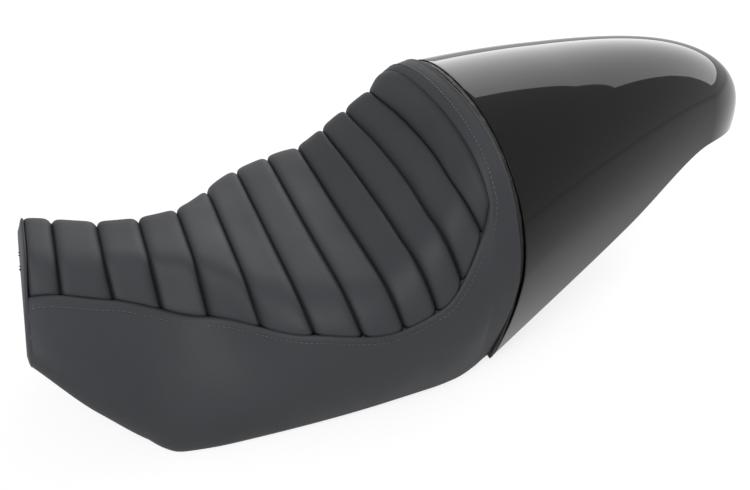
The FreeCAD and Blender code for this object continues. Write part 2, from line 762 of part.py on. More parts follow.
def foam_wire(x):
    """Foam under the ribbed panel, between the skirts and over the base."""
    lip_y, lip_drop = seam_y(x) - seam_lip(x) - FOAM_GAP, FIT + VINYL + FOAM_GAP
    lip_z = seam_z(x) - lip_drop
    side = foam_side(x) + [(seam_y(x) - VINYL - FOAM_GAP, lip_z), (lip_y, lip_z)]
    under = panel_under(x, PANEL_THICK + FOAM_GAP)
    under[0] = (min(under[0][0], lip_y - FIT), max(under[0][1], -lip_drop))
    upper = leaning(x, both_halves(under[:3] + under[-1:]))
    right, left = at_x(x, side), at_x(x, flipped(side))
    return right + upper + left + at_x(x, both_halves(foam_lower(x)))[::-1]


def bolster_wire(x, crown):
    """Foam of the hump behind the crescent, up to a crown height."""
    side = foam_side(x)
    top = inward(sampled(hump_top(x), 7), VINYL + FOAM_GAP)[1:]
    level = [(y, min(z, crown)) for y, z in top[:-1]] + [(0.0, min(top[-1][1], crown))]
    half = side + level
    return at_x(x, both_halves(half) + both_halves(foam_lower(x))[::-1])


def foam_pad():
    wires = [foam_wire(x) for x in [X_FRONT + FIT] + core_places()[1:]]
    crowns = (HUMP_SEAM_Z, BAND_CROWN, BAND_CROWN)
    foam = skin(wires + [bolster_wire(x, crown) for x, crown in zip(bolster_places(), crowns)])
    pockets = [post(5 * BOLT_DIA, x, y, pan_top(x) - 1, pan_top(x) + BOSS_DEPTH) for x, y in bolt_places()]
    return foam.cut(joined(pockets))


# Fittings

def front_tongue():
    seat = tongue_seat() - FIT
    rear = TONGUE_X + TONGUE_WIDTH / 2
    bend = TONGUE_X - TONGUE_WIDTH / 2
    low = bend - TONGUE_THICK * 2
    front = low - TONGUE_REACH / 2
    top = [(rear, seat), (bend, seat), (low, seat - TONGUE_STEP), (front, seat - TONGUE_STEP)]
    under = [(x - (TONGUE_THICK / 2 if k in (1, 2) else 0), z - TONGUE_THICK) for k, (x, z) in enumerate(top)]
    strap = side_prism(top + under[::-1], TONGUE_WIDTH)
    return strap.cut(joined([post(RIVET_DIA + FIT, x, y, 0, 2 * PAN_DROP) for x, y in rivet_places()]))


def tongue_rivets():
    seat = tongue_seat() - FIT - TONGUE_THICK
    rivets = []
    for x, y in rivet_places():
        head = post(2 * RIVET_DIA, x, y, seat - FIT - RIVET_DIA / 3, seat - FIT)
        rivets.append(head.fuse(post(RIVET_DIA, x, y, seat - FIT - 1, tongue_seat() + BOSS_DEPTH)))
    return Part.makeCompound([r.removeSplitter() for r in rivets])


def rear_bracket():
    """Bent strap: raised middle bolted to the base, stepped-down ends for the frame's bolts."""
    top = bracket_seat() - FIT
    bend = TONGUE_THICK / 2
    half = [(0.0, top), (BOLT_SPACE * 0.85, top), (BOLT_SPACE * 0.95, top - BRACKET_STEP),
            (BRACKET_HOLES / 2 + BRACKET_FOOT, top - BRACKET_STEP)]
    under = [(half[0][0], top - TONGUE_THICK), (half[1][0] - bend, top - TONGUE_THICK),
             (half[2][0] - bend, top - BRACKET_STEP - TONGUE_THICK), (half[3][0], half[3][1] - TONGUE_THICK)]
    front = BRACKET_X - BRACKET_WIDTH / 2
    outline = both_halves(half[::-1]) + both_halves(under[::-1])[::-1]
    strap = Part.Face(closed(at_x(front, outline))).extrude(V(BRACKET_WIDTH, 0, 0))
    holes = [post(BOLT_DIA + 2 * FIT, x, y, 0, 2 * PAN_DROP) for x, y in bolt_places()]
    holes += [Part.makeCylinder(MOUNT_HOLE / 2, 2 * PAN_DROP, V(BRACKET_X, side * BRACKET_HOLES / 2, 0))
              for side in (1, -1)]
    return strap.cut(joined(holes))


def bracket_bolts():
    """Flange bolts: hexagon head on a round flange."""
    high = bracket_seat() - FIT - TONGUE_THICK - FIT
    bolts = []
    for x, y in bolt_places():
        turns = [k * math.pi / 3 for k in range(6)]
        flats = [V(x + BOLT_DIA * math.cos(t), y + BOLT_DIA * math.sin(t), high - BOLT_DIA) for t in turns]
        head = Part.Face(closed(flats)).extrude(V(0, 0, BOLT_DIA))
        flange = post(2.4 * BOLT_DIA, x, y, high - WASHER_THICK, high)
        bolts.append(head.fuse([flange, post(BOLT_DIA, x, y, high - 1, pan_top(x) + PAN_WALL)]))
    return Part.makeCompound([b.removeSplitter() for b in bolts])


def tee_nuts():
    """Square plate on the base with a threaded barrel through it."""
    nuts = []
    size = 3 * BOLT_DIA
    for x, y in bolt_places():
        top = pan_top(x) + FIT / 2
        plate = Part.makeBox(size, size, WASHER_THICK, V(x - size / 2, y - size / 2, top))
        nut = plate.fuse(post(BOLT_DIA + 2 * VINYL, x, y, bracket_seat() + FIT, top + WASHER_THICK))
        nuts.append(nut.cut(post(BOLT_DIA + FIT, x, y, 0, 2 * PAN_DROP)).removeSplitter())
    return Part.makeCompound(nuts)


def rubber_bumpers():
    pads = []
    for x, y, z in bumper_places():
        low = z - FIT - BUMPER_HEIGHT
        body = post(BUMPER_DIA, x, y, low, z - FIT)
        pads.append(body.fuse(post(BUMPER_STEM, x, y, low + 1, z + 2 * PAN_WALL - FIT)))
    return Part.makeCompound([p.removeSplitter() for p in pads])


def cowl_screw_places():
    """Foot point of each cowl screw on the tray's underside."""
    places = []
    for k in range(2):
        x = X_JOINT + COWL_SCREW_RUN + k * COWL_SCREW_STEP
        y = cowl_width(x) - COWL_WALL - 0.6 * LEDGE_WIDTH
        places += [V(x, y, tray_z(x)), V(x, -y, tray_z(x))]
    return places


def tray_normal():
    return V(-TRAY_SLOPE, 0, 1).normalize()


def on_tray(diameter, low, high):
    """One round post at each cowl screw, square to the tray, between two heights over its underside."""
    tilt = FreeCAD.Rotation(V(0, 0, 1), tray_normal())
    posts = []
    for foot in cowl_screw_places():
        made = post(diameter, 0.0, 0.0, low, high)
        made.Placement = FreeCAD.Placement(foot, tilt)
        posts.append(made)
    return posts


def cowl_screw_bores():
    return joined(on_tray(COWL_SCREW_DIA + 2 * FIT, -CUT_OVER, CUT_OVER))


def clip_seat():
    """Top of the ledge over the tray's underside, measured square to the tray."""
    return (PAN_WALL + FIT + LEDGE_THICK) / math.hypot(1, TRAY_SLOPE)


def cowl_screws():
    heads = on_tray(2.2 * COWL_SCREW_DIA, -FIT - 0.6 * COWL_SCREW_DIA, -FIT)
    shanks = on_tray(COWL_SCREW_DIA, -FIT - 1.0, clip_seat() + COWL_SCREW_DIA)
    return Part.makeCompound([h.fuse(s).removeSplitter() for h, s in zip(heads, shanks)])


def cowl_clip_nuts():
    base = clip_seat() + FIT / 2
    size = 2.6 * COWL_SCREW_DIA
    tilt = FreeCAD.Rotation(V(0, 0, 1), tray_normal())
    plates = []
    for foot in cowl_screw_places():
        plate = Part.makeBox(size, size, 2 * WASHER_THICK, V(-size / 2, -size / 2, base))
        plate.Placement = FreeCAD.Placement(foot, tilt)
        plates.append(plate)
    bores = on_tray(COWL_SCREW_DIA + FIT, base - CUT_OVER, base + CUT_OVER)
    return Part.makeCompound([plate.cut(bore) for plate, bore in zip(plates, bores)])


nodes = {
    "ribbed_top_panel": ribbed_top_panel(),
    "border_cover": border_cover(),
    "cowl": cowl(),
    "cowl_edge_seal": cowl_edge_seal(),
    "foam_pad": foam_pad(),
    "seat_pan": seat_pan(),
    "front_tongue": front_tongue(),
    "tongue_rivets": tongue_rivets(),
    "rear_bracket": rear_bracket(),
    "bracket_bolts": bracket_bolts(),
    "tee_nuts": tee_nuts(),
    "rubber_bumpers": rubber_bumpers(),
    "cowl_screws": cowl_screws(),
    "cowl_clip_nuts": cowl_clip_nuts(),
}

os.makedirs("parts", exist_ok=True)
middle = -0.5 * (at_x(X_TIP, [(0.0, TIP_EDGE_Z)])[0].x + cowl_places(0.0)[-1])
for name, shape in nodes.items():
    shape = shape.removeSplitter()
    shape.translate(V(middle, 0, 0))
    shape.exportStep("parts/" + name + ".step")
    print(name, shape.isValid(), len(shape.Solids), len(shape.Faces), round(shape.Volume / 1000, 1), "cm3")
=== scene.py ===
# %% [markdown]
# # Motorcycle solo seat
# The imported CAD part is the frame: it gives every size and place. This lesson dresses it. The vinyl
# cover gets its stretched, padded surface, the tail cowl gets a smooth gloss skin, the seams get their
# thread and the underside its staples. Fittings under the base keep their CAD shape and get a finish.

import math

import bmesh
import bpy
import numpy as np
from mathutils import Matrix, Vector


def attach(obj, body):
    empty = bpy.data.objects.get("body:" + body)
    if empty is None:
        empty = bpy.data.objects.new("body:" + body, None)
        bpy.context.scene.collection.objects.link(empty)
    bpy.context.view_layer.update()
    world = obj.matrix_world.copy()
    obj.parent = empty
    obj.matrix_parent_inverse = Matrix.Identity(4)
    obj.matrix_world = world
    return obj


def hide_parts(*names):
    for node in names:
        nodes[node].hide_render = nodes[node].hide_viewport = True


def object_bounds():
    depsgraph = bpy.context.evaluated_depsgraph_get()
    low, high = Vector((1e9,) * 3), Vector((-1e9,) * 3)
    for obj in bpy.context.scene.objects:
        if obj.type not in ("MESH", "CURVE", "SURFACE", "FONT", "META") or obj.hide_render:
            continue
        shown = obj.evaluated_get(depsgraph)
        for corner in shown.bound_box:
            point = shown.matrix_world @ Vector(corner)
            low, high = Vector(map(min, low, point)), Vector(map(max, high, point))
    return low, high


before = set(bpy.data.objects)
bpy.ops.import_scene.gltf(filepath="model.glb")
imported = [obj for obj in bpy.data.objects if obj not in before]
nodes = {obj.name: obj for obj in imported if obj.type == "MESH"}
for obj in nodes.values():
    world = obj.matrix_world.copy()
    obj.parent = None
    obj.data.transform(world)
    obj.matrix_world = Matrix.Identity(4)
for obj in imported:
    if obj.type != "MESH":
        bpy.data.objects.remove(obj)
cad_low, cad_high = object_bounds()
print("CAD nodes:", sorted(nodes))
print("CAD box, metres:", [round(v, 4) for v in cad_low], [round(v, 4) for v in cad_high])

# %% [markdown]
# ## Measures
# The cover and the cowl are drawn again from the same stations as the CAD sections, in millimetres with
# x = 0 at the front seam of the ribbed panel. Fine meshes need smooth curves between the stations, so
# each size is a list of (x, value) pairs, read by a monotone cubic that never overshoots. Some heights
# differ a little from the CAD's, where a padded surface sits closer to the photograph that way.

# %% Stations of the seat
X_TIP, X_FRONT, X_NECK, X_WAIST, X_FLARE = -6.0, 0.0, 58.0, 124.0, 195.0
X_SEAT, X_FOOT, X_HUMP, X_RIM, X_JOINT = 262.0, 304.0, 346.0, 353.0, 371.0
CORNER_X, LIFT_X = 84.0, 330.0
NOSE_SLOPE = 0.22

SEAM_Y = [(X_TIP, 62.0), (X_FRONT, 50.0), (X_NECK, 52.0), (X_WAIST, 71.0), (X_FLARE, 125.0),
          (X_SEAT, 142.5), (X_FOOT, 142.5), (X_HUMP, 125.0), (X_RIM, 119.0)]
SEAM_Z = [(X_TIP, 136.0), (X_FRONT, 150.0), (X_NECK, 129.0), (X_WAIST, 104.0), (X_FLARE, 104.0),
          (X_SEAT, 97.0), (X_FOOT, 108.0), (X_HUMP, 164.0), (X_RIM, 186.0)]
CROWN_Z = [(X_FRONT, 173.0), (X_NECK, 154.0), (X_WAIST, 140.5), (X_FLARE, 128.5), (X_SEAT, 130.5),
           (X_FOOT, 154.5), (X_HUMP, 197.5)]
DISH = [(X_FLARE, 0.0), (X_FOOT, 7.0)]
LEAN = [(X_WAIST, 0.0), (X_SEAT, 7.0), (X_FOOT, 7.0), (X_HUMP, 0.0)]
EDGE_ANGLE = [(X_FRONT, 40.0), (X_NECK, 45.0), (X_WAIST, 52.0), (X_FLARE, 75.0), (X_SEAT, 82.0),
              (X_FOOT, 80.0), (X_HUMP, 62.0), (X_RIM, 60.0)]
ROLL_ANGLE = [(X_FRONT, 40.0), (X_NECK, 44.0), (X_WAIST, 50.0), (X_FLARE, 66.0), (X_SEAT, 73.0),
              (X_FOOT, 72.0), (X_HUMP, 58.0)]
FLATNESS = [(X_NECK, 0.28), (X_WAIST, 0.36), (X_FLARE, 0.57), (X_SEAT, 0.7), (X_FOOT, 0.7),
            (X_HUMP, 0.66)]
EDGE_Y = [(X_TIP, 70.0), (X_FRONT, 79.0), (X_NECK, 108.0), (X_WAIST, 122.0), (X_SEAT, 130.0),
          (X_FOOT, 130.0), (X_JOINT, 122.0)]
EDGE_Z = [(X_TIP, 110.0), (X_FRONT, 106.0), (35.0, 57.0), (69.0, 6.5), (78.0, 0.8), (CORNER_X, 0.0),
          (LIFT_X, 0.0), (X_JOINT, 12.0)]
BAND_CROWN = [(X_RIM, 227.0), (0.7 * X_RIM + 0.3 * X_JOINT, 232.5), (X_JOINT, 238.0)]
NOSE_LEAN = [(X_FRONT, NOSE_SLOPE), (X_NECK, 0.0)]
X_SHIFT = cad_low.x * 1000 - (X_TIP + NOSE_SLOPE * (EDGE_Z[0][1] - SEAM_Z[0][1]))
print("x shift to the frame, mm:", round(X_SHIFT, 2))


# %% Curves through the stations
def along(x, stations):
    """Value at x of a monotone cubic through (x, value) stations."""
    if x <= stations[0][0]:
        return stations[0][1]
    if x >= stations[-1][0]:
        return stations[-1][1]
    spans = [b[0] - a[0] for a, b in zip(stations, stations[1:])]
    rises = [(b[1] - a[1]) / (b[0] - a[0]) for a, b in zip(stations, stations[1:])]
    slopes = [rises[0]]
    for k in range(1, len(rises)):
        if rises[k - 1] * rises[k] <= 0:
            slopes.append(0.0)
        else:
            w1 = 2 * spans[k] + spans[k - 1]
            w2 = spans[k] + 2 * spans[k - 1]
            slopes.append((w1 + w2) / (w1 / rises[k - 1] + w2 / rises[k]))
    slopes.append(rises[-1])
    k = max(i for i in range(len(spans)) if stations[i][0] <= x)
    t = (x - stations[k][0]) / spans[k]
    a, b = stations[k][1], stations[k + 1][1]
    return (a * (1 + 2 * t) * (1 - t) ** 2 + b * t * t * (3 - 2 * t)
            + spans[k] * (slopes[k] * t * (1 - t) ** 2 - slopes[k + 1] * t * t * (1 - t)))


def bezier(points, count):
    """(y, z) points along a Bezier curve, ends included."""
    t = np.linspace(0.0, 1.0, count)[:, None]
    rest = [np.array(p, float)[None, :] * np.ones_like(t) for p in points]
    while len(rest) > 1:
        rest = [(1 - t) * a + t * b for a, b in zip(rest, rest[1:])]
    return rest[0]


print("seam half width at the seat, mm:", along(X_SEAT, SEAM_Y))


# %% Runs of points
def walk(run):
    """Length walked along a run of points, 0 at its start."""
    return np.concatenate([[0.0], np.cumsum(np.linalg.norm(np.diff(run, axis=0), axis=1))])


def evenly(run, count):
    """A run of points laid out again with equal steps along its length."""
    walked = walk(run)
    want = np.linspace(0.0, walked[-1], count)
    return np.stack([np.interp(want, walked, run[:, k]) for k in range(run.shape[1])], axis=1)


def normals_2d(run):
    """Unit vectors to the left of a run of (y, z) points."""
    d = np.gradient(run, axis=0)
    d /= np.linalg.norm(d, axis=1)[:, None]
    return np.stack([-d[:, 1], d[:, 0]], axis=1)


def mirrored(half):
    """Full run from +Y to -Y out of a half that ends on the middle line."""
    other = half[::-1][1:] * np.array([-1.0, 1.0])
    return np.concatenate([half, other])


# %% Section curves of the cover
# A handle is the length of a curve's first arm, as a share of the rise or drop that the curve covers.
ROLL_HANDLE, SKIRT_HANDLE, HUMP_HANDLE = 0.6, 0.4, 0.65
SKIRT_BULGE, BULGE_HEIGHT = 16.0, 0.35
ROLL_POINTS, BORDER_POINTS = 40, 60


def roll_lean(x):
    """How far a roll leans forward from the seam up to its crown."""
    return along(x, LEAN) - along(x, NOSE_LEAN) * (along(x, CROWN_Z) - along(x, SEAM_Z))


def section_x(x, z):
    """Place of a section's points along the seat: the sections of the nose lean back."""
    return x + along(x, NOSE_LEAN) * (z - along(x, SEAM_Z))


def shoulder(x, count):
    """Rolls from the seam to the middle line, as (y, height above the seam)."""
    y, z = along(x, SEAM_Y), along(x, SEAM_Z)
    rise = math.hypot(along(x, CROWN_Z) - z, roll_lean(x))
    angle = math.radians(along(x, ROLL_ANGLE))
    reach = ROLL_HANDLE * rise / math.sin(angle)
    flat, low = along(x, FLATNESS) * y, rise - along(x, DISH)
    arm = (y - reach * math.cos(angle), reach * math.sin(angle))
    edge = bezier([(y, 0), arm, (0.5 * (flat + y), rise), (flat, rise)], ROLL_POINTS)
    top = bezier([(flat, rise), (0.65 * flat, rise), (0.35 * flat, low), (0, low)], ROLL_POINTS)
    return evenly(np.concatenate([edge, top[1:]]), count)


def skirt(x, count):
    """Border from the seam down to the lower edge, as (y, z)."""
    y, z = along(x, SEAM_Y), along(x, SEAM_Z)
    angle = math.radians(along(x, EDGE_ANGLE))
    low_y, low_z = along(x, EDGE_Y), along(x, EDGE_Z)
    drop = z - low_z
    arm = (y + SKIRT_HANDLE * drop * math.cos(angle), z - SKIRT_HANDLE * drop * math.sin(angle))
    bulge = (low_y + SKIRT_BULGE, low_z + BULGE_HEIGHT * drop)
    return evenly(bezier([(y, z), arm, bulge, (low_y, low_z)], BORDER_POINTS), count)


def hump_top(x, count):
    """Hump band from the seam level up to the crown, as (y, z)."""
    y, z, crown = along(x, SEAM_Y), along(x, SEAM_Z), along(x, BAND_CROWN)
    angle = math.radians(along(x, EDGE_ANGLE))
    reach = HUMP_HANDLE * (crown - z) / math.sin(angle)
    arm = (y - reach * math.cos(angle), z + reach * math.sin(angle))
    return evenly(bezier([(y, z), arm, (0.5 * y, crown), (0, crown)], BORDER_POINTS), count)


print("skirt's depth at the seat, mm:", round(walk(skirt(X_SEAT, BORDER_POINTS))[-1], 1))

# %% Joint between hump band and cowl
JOINT_BELT, JOINT_BOW, JOINT_RAKE = 112.0, 7.0, 7.0


def joint_x(z):
    """Side view of the joint: bowed back above, raked forward below the widest line."""
    bend = 1 - ((z - JOINT_BELT) / (BAND_CROWN[-1][1] - JOINT_BELT)) ** 2
    return X_JOINT + JOINT_BOW * bend - JOINT_RAKE * np.maximum(0.0, (JOINT_BELT - z) / JOINT_BELT)


print("joint at its widest line, mm:", joint_x(JOINT_BELT))

# %% Meshes from rows of points
MIRROR_Y = np.array([1.0, -1.0, 1.0])


def place(points):
    """Modelling millimetres to metres in the row frame."""
    return (np.asarray(points, float) + np.array([X_SHIFT, 0.0, 0.0])) / 1000


def mesh_object(name, verts, faces, smooth=True):
    """Object in the scene from points in metres and faces."""
    mesh = bpy.data.meshes.new(name)
    mesh.from_pydata([tuple(v) for v in verts], [], faces)
    mesh.validate()
    mesh.polygons.foreach_set("use_smooth", [smooth] * len(mesh.polygons))
    obj = bpy.data.objects.new(name, mesh)
    bpy.context.scene.collection.objects.link(obj)
    return obj


def grid_object(name, grid, inside):
    """Object from a grid of points, shape (rows, columns, 3), faced away from a point inside the seat."""
    rows, columns = grid.shape[:2]
    faces = []
    for i in range(rows - 1):
        for j in range(columns - 1):
            a = i * columns + j
            faces.append((a, a + 1, a + columns + 1, a + columns))
    across = grid[1:, 1:] - grid[:-1, :-1]
    along_rows = grid[:-1, 1:] - grid[1:, :-1]
    facing = np.cross(along_rows, across) * (grid[:-1, :-1] - np.array(inside, float))
    if facing.sum() < 0:
        faces = [face[::-1] for face in faces]
    return mesh_object(name, place(grid.reshape(-1, 3)), faces)


def weld(obj, distance=0.0002):
    """Merges points that lie on each other."""
    bm = bmesh.new()
    bm.from_mesh(obj.data)
    bmesh.ops.remove_doubles(bm, verts=bm.verts, dist=distance)
    bm.to_mesh(obj.data)
    bm.free()
    return obj


def joined(name, objects):
    """One object out of several meshes."""
    bm = bmesh.new()
    for obj in objects:
        bm.from_mesh(obj.data)
        bpy.data.objects.remove(obj)
    mesh = bpy.data.meshes.new(name)
    bm.to_mesh(mesh)
    bm.free()
    mesh.polygons.foreach_set("use_smooth", [True] * len(mesh.polygons))
    made = bpy.data.objects.new(name, mesh)
    bpy.context.scene.collection.objects.link(made)
    return made


def thicken(obj, millimetres):
    """A wall of a given thickness, grown inwards from the surface."""
    wall = obj.modifiers.new("sheet thickness", "SOLIDIFY")
    wall.thickness = millimetres / 1000
    wall.offset = -1.0
    wall.use_even_offset = False


print("front seam in the frame, metres:", [round(v, 4) for v in place([X_FRONT, 0.0, 0.0])])

# %% [markdown]
# ## Ribbed panel
# The rider sits on tuck-and-roll: vinyl and thin foam sewn down in lines across the seat, so that it
# stands up in soft rolls between the stitches. It could be a cloth simulation with sewn springs, or be
# sculpted. Here every line has to meet the seam at its own place, so a sheet is laid over the section
# curves instead and sunk by the distance to the nearest line: flat on top, falling steeply into the
# crease. At the side seam the sheet dives under the border. On the bum stop the lines bow forward on
# the shoulders, and behind the last one a crescent fills the arch up to the rim seam.

# %% Sewn lines
ROLL_PITCH = 34.5
SHORTEST_ROLL = 0.4 * ROLL_PITCH


def sewn_lines():
    """Stations of the sewn lines, one pitch apart along the crown line, set out from the hump."""
    step, walked, x = 0.5, 0.0, X_HUMP
    places = [X_HUMP]
    while x - step > X_FRONT:
        run = step - roll_lean(x) + roll_lean(x - step)
        walked += math.hypot(run, along(x, CROWN_Z) - along(x - step, CROWN_Z))
        x -= step
        if walked >= ROLL_PITCH:
            places.append(x)
            walked = 0.0
    if places[-1] - X_FRONT < SHORTEST_ROLL:
        places.pop()
    return [X_FRONT] + places[::-1]


LINES = sewn_lines()
print("sewn lines:", len(LINES))

# %% Section of a roll
HALF_COLUMNS = 44
ROLL_DEPTH, ROLL_SQUARENESS = 5.2, 5
SEAM_TUCK, SEAM_TUCK_REACH = 1.8, 2.0
CREASE, CREASE_REACH = 3.4, 1.7


def roll_depth(share, width):
    """Depth under the roll's crown: a long flat swell and a sharp crease at the sewn line."""
    swell = abs(2 * share - 1) ** ROLL_SQUARENESS
    from_line = width * min(share, 1 - share)
    return (ROLL_DEPTH - CREASE) * swell + CREASE * math.exp(-from_line / CREASE_REACH)


def roll_row(x, depth):
    """One row across the panel, sunk by a depth and tucked in at the side seams."""
    half = shoulder(x, HALF_COLUMNS)
    tuck = SEAM_TUCK * np.exp(-walk(half) / SEAM_TUCK_REACH)
    half = half + normals_2d(half) * (depth + tuck)[:, None]
    half[-1, 0] = 0.0
    full = mirrored(half)
    lean, rise = roll_lean(x), along(x, CROWN_Z) - along(x, SEAM_Z)
    size = math.hypot(lean, rise)
    xs, zs = x - lean * full[:, 1] / size, along(x, SEAM_Z) + rise * full[:, 1] / size
    return np.stack([xs, full[:, 0], zs], axis=1)


print("depth beside and between the lines, mm:", roll_depth(0.0, ROLL_PITCH), roll_depth(0.5, ROLL_PITCH))

# %% Rows bowed on the bum stop
# The sheet is tabled once without depth, and once for what a millimetre of depth moves, so that a
# bowed row can be read between the straight ones.
BOW = [(X_SEAT, 0.0), (X_FOOT, 3.5), (X_HUMP, 6.5)]
TABLE_X = np.linspace(X_FRONT, X_HUMP, 360)
FLAT = np.array([roll_row(x, 0.0) for x in TABLE_X])
SINK = np.array([roll_row(x, 1.0) for x in TABLE_X]) - FLAT


def bowed_row(x, depth):
    """A row that reaches forward on the shoulders, as the sewn lines of the bum stop do."""
    plain = roll_row(x, 0.0)
    share = np.abs(plain[:, 1] / plain[0, 1])
    reach = x - along(x, BOW) * np.sin(np.pi * np.minimum(1.0, share) ** 2)
    step = np.clip((reach - X_FRONT) / (TABLE_X[1] - TABLE_X[0]), 0.0, len(TABLE_X) - 1.001)
    low, column = step.astype(int), np.arange(len(plain))
    part = (step - low)[:, None]
    sheet = FLAT + depth * SINK
    return (1 - part) * sheet[low, column] + part * sheet[low + 1, column]


print("bow of the last line, mm:", along(X_HUMP, BOW))

# %% Rolls
SHADE_REACH = 2.2
ROLL_SHARES = (0.0, 0.012, 0.028, 0.05, 0.08, 0.12, 0.18, 0.26, 0.37, 0.5,
               0.63, 0.74, 0.82, 0.88, 0.92, 0.95, 0.972, 0.988)


def paint_crease_shade(obj, distance):
    """Keeps on each point how near a sewn line is, 1 on the line, for the painted shade in the creases."""
    layer = obj.data.attributes.new("crease", "FLOAT", "POINT")
    layer.data.foreach_set("value", np.exp(-np.asarray(distance, float) / SHADE_REACH).ravel())


rows, from_lines = [], []
for front, rear in zip(LINES, LINES[1:]):
    for share in ROLL_SHARES:
        rows.append(bowed_row(front + share * (rear - front), roll_depth(share, rear - front)))
        from_lines.append((rear - front) * min(share, 1 - share))
rows.append(bowed_row(X_HUMP, ROLL_DEPTH))
from_lines.append(0.0)
rolls = grid_object("rolls", np.array(rows), inside=(200, 0, 0))
paint_crease_shade(rolls, np.repeat(from_lines, len(rows[0])))
print("rolls mesh:", len(rolls.data.polygons), "faces")

# %% Crescent on the hump
CRESCENT_ROWS, CRESCENT_SWELL, CRESCENT_SQUARENESS = 34, 4.5, 4
TIP_FADE, FULL_SPAN = 12.0, 30.0
HUMP_OUTWARD = np.array([-0.95, 0.0, 0.31])
RIM_SIDE_POINTS, ARCH_POINTS = 12, 60


def on_plane(x, run):
    """(y, z) points set on the plane across the seat at x."""
    return np.concatenate([np.full((len(run), 1), x), run], axis=1)


def rim_half():
    """Half of the seam behind the last roll: up the side from the last sewn line, then over the hump."""
    side = np.array([(x, along(x, SEAM_Y), along(x, SEAM_Z))
                     for x in np.linspace(X_HUMP, X_RIM, RIM_SIDE_POINTS)])
    arch = on_plane(X_RIM, hump_top(X_RIM, ARCH_POINTS))
    run = evenly(np.concatenate([side, arch[1:]]), HALF_COLUMNS)
    run[:, 1:] += normals_2d(run[:, 1:]) * SEAM_TUCK
    run[-1, 1] = 0.0
    return run


foot = np.array(rows[-1])
rim = rim_half()
rim = np.concatenate([rim, rim[::-1][1:] * MIRROR_Y])
spans = np.linalg.norm(rim - foot, axis=1)[:, None]
walked = walk(rim)
ends = (1 - np.exp(-np.minimum(walked, walked[-1] - walked) / TIP_FADE))[:, None]
crescent_rows, from_rims = [], []
for t in np.linspace(0.0, 1.0, CRESCENT_ROWS):
    w = 0.5 - 0.5 * math.cos(math.pi * t)
    swell = CRESCENT_SWELL * ends * np.minimum(1.0, spans / FULL_SPAN)
    swell = swell * (1 - abs(2 * w - 1) ** CRESCENT_SQUARENESS)
    crescent_rows.append((1 - w) * foot + w * rim + HUMP_OUTWARD * swell)
    from_rims.append(spans[:, 0] * min(w, 1 - w))
crescent = grid_object("crescent", np.array(crescent_rows), inside=(420, 0, 60))
paint_crease_shade(crescent, from_rims)
panel = weld(joined("ribbed_panel", [rolls, crescent]))
print("panel mesh:", len(panel.data.polygons), "faces")

# %% [markdown]
# ## Border
# Smooth vinyl runs round the panel: two side skirts, a facing under the nose and a band over the hump.
# It is pulled tight over the foam and turned in under the base. A simulated cloth would come to rest in
# nearly the same tight surface after a long run, so each part is a grid of its section curves, with the
# same tuck at the seam, and the parts are welded where they meet.

# %% Side skirts with the hem
SKIRT_SECTIONS, SKIRT_ROWS = 190, 44
HEM_ROUND, HEM_START, HEM_STEPS = 2.5, 0.3, 5
HEM_INSET, HEM_RISE = 20.0, 10.0


def skirt_run(x):
    """Border from the seam round the lower edge and in under the base, as (y, z), with walked lengths."""
    run = skirt(x, SKIRT_ROWS)
    y, z = run[-1]
    turn = [(y - HEM_ROUND * (1 - math.cos(a)), z + HEM_ROUND - HEM_ROUND * math.sin(a))
            for a in np.linspace(HEM_START, math.pi / 2, HEM_STEPS)]
    hem = turn + [(y - HEM_INSET, z), (y - HEM_INSET, z + HEM_RISE)]
    run = np.concatenate([run[:-2], np.array(hem)])
    return run, walk(run)


def skirt_grid():
    """Sections of the skirt along the seat, each with the tuck at the seam."""
    grid = []
    for x in np.linspace(X_FRONT, X_RIM, SKIRT_SECTIONS):
        run, walked = skirt_run(x)
        run = run - normals_2d(run) * (SEAM_TUCK * np.exp(-walked / SEAM_TUCK_REACH))[:, None]
        grid.append(np.stack([section_x(x, run[:, 1]), run[:, 0], run[:, 1]], axis=1))
    return np.array(grid)


right = skirt_grid()
skirts = [grid_object("skirt right", right, inside=(200, 0, 60)),
          grid_object("skirt left", right * MIRROR_Y, inside=(200, 0, 60))]
print("skirt grid:", right.shape)

# %% Hump band
BAND_ROWS, EDGE_ROLL, EDGE_STEPS = 14, 3.0, 6


def band_row(share, sink=0.0, back=0.0):
    """Arch from hem to hem between the rim seam and the joint with the cowl."""
    x = X_RIM + share * (X_JOINT - X_RIM)
    low, walked = skirt_run(x)
    arch = hump_top(x, ARCH_POINTS)
    half = np.concatenate([low[::-1], arch[1:]])
    below = np.concatenate([walked[::-1], np.zeros(len(arch) - 1)])
    xs = X_RIM + share * (joint_x(half[:, 1]) - X_RIM)
    from_seam = np.hypot(xs - X_RIM, below)
    tuck = SEAM_TUCK * np.exp(-from_seam / SEAM_TUCK_REACH)
    half = half + normals_2d(half) * (sink + tuck)[:, None]
    half[-1, 0] = 0.0
    full = mirrored(half)
    return np.stack([np.concatenate([xs, xs[::-1][1:]]) - back, full[:, 0], full[:, 1]], axis=1)


def band_grid():
    """Rows from the rim seam to the joint, where the vinyl rolls in over the foam's edge."""
    flat = 1.0 - EDGE_ROLL / (X_JOINT - X_RIM)
    grid = [band_row(share) for share in np.linspace(0.0, 1.0, BAND_ROWS) * flat]
    for a in np.linspace(0.0, math.pi / 2, EDGE_STEPS)[1:]:
        grid.append(band_row(1.0, EDGE_ROLL * (1 - math.cos(a)), EDGE_ROLL * (1 - math.sin(a))))
    grid.append(band_row(1.0, 2 * EDGE_ROLL))
    return np.array(grid)


band = grid_object("band", band_grid(), inside=(360, 0, 90))
print("band mesh:", len(band.data.polygons), "faces")

# %% Nose facing
NOSE_POINTS, NOSE_DROP, FACING_COLUMNS = 40, 0.4, 15
NOSE_SHARES = (0.0, 0.1, 0.25, 0.45, 0.65, 0.85)
FACING_SHARES = (0.99, 0.965, 0.93)


